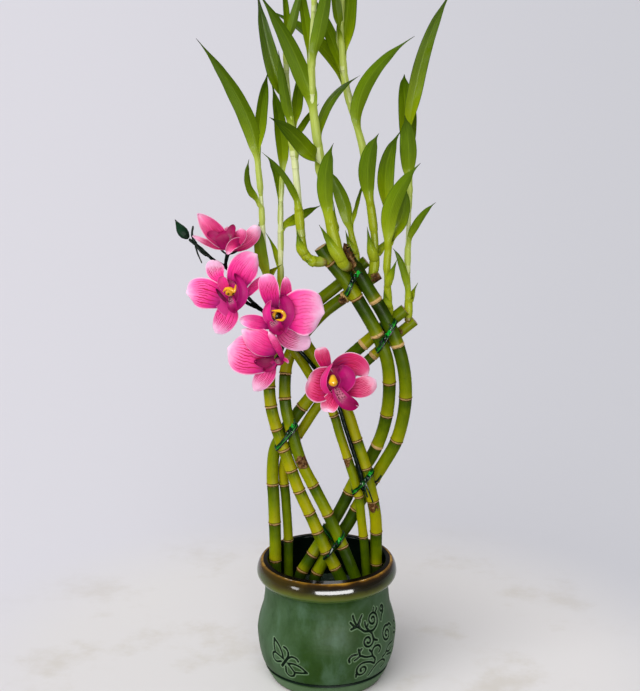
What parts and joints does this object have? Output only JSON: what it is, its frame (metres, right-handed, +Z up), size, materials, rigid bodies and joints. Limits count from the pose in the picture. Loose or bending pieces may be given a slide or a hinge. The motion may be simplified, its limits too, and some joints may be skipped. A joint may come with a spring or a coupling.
{
  "type": "lucky bamboo in a glazed pot",
  "caption": "Lucky bamboo canes woven in pairs into a tall lattice, with leafy shoots and an orchid spray, standing in a round glazed pot.",
  "frame": {"origin": "middle of the pot's flat underside", "axes": "+Z up along the pot's axis, the front with the blooms faces -Y, +X to the right seen from the front"},
  "size_m": [0.24, 0.13, 0.7021],
  "materials": {
    "glaze": "mottled green stoneware glaze, glossy, brown where it breaks over the rim",
    "pebble": "rounded grey and brown pebbles, wet",
    "water": "clear still water",
    "cane": "smooth satin living cane, yellow green with tan node rings",
    "leaf": "soft satin leaf, pale green at the base",
    "tie": "glossy green plastic ribbon",
    "wire": "dark green plastic coated wire",
    "bud": "dark green cloth bud",
    "petal": "pink printed cloth with red veins and pale edges",
    "lip": "deep magenta cloth",
    "column": "yellow orange with dark specks"
  },
  "bodies": {
    "root": {"pot": "glaze", "pebbles": "pebble", "water": "water", "cane_a": "cane", "cane_b": "cane", "cane_c": "cane", "cane_d": "cane", "cane_e": "cane", "cane_f": "cane", "cane_g": "cane", "cane_h": "cane", "shoot_a": "leaf", "shoot_b": "leaf", "shoot_c": "leaf", "shoot_d": "leaf", "shoot_e": "leaf", "shoot_f": "leaf", "shoot_g": "leaf", "shoot_h": "leaf", "tie_low": "tie", "tie_left": "tie", "tie_right": "tie", "tie_upper_right": "tie", "tie_top": "tie", "orchid_stem": "wire", "orchid_bud": "bud", "bloom_1_petals": "petal", "bloom_1_lip": "lip", "bloom_1_column": "column", "bloom_2_petals": "petal", "bloom_2_lip": "lip", "bloom_2_column": "column", "bloom_3_petals": "petal", "bloom_3_lip": "lip", "bloom_3_column": "column", "bloom_4_petals": "petal", "bloom_4_lip": "lip", "bloom_4_column": "column", "bloom_5_petals": "petal", "bloom_5_lip": "lip", "bloom_5_column": "column"}
  },
  "joints": []
}
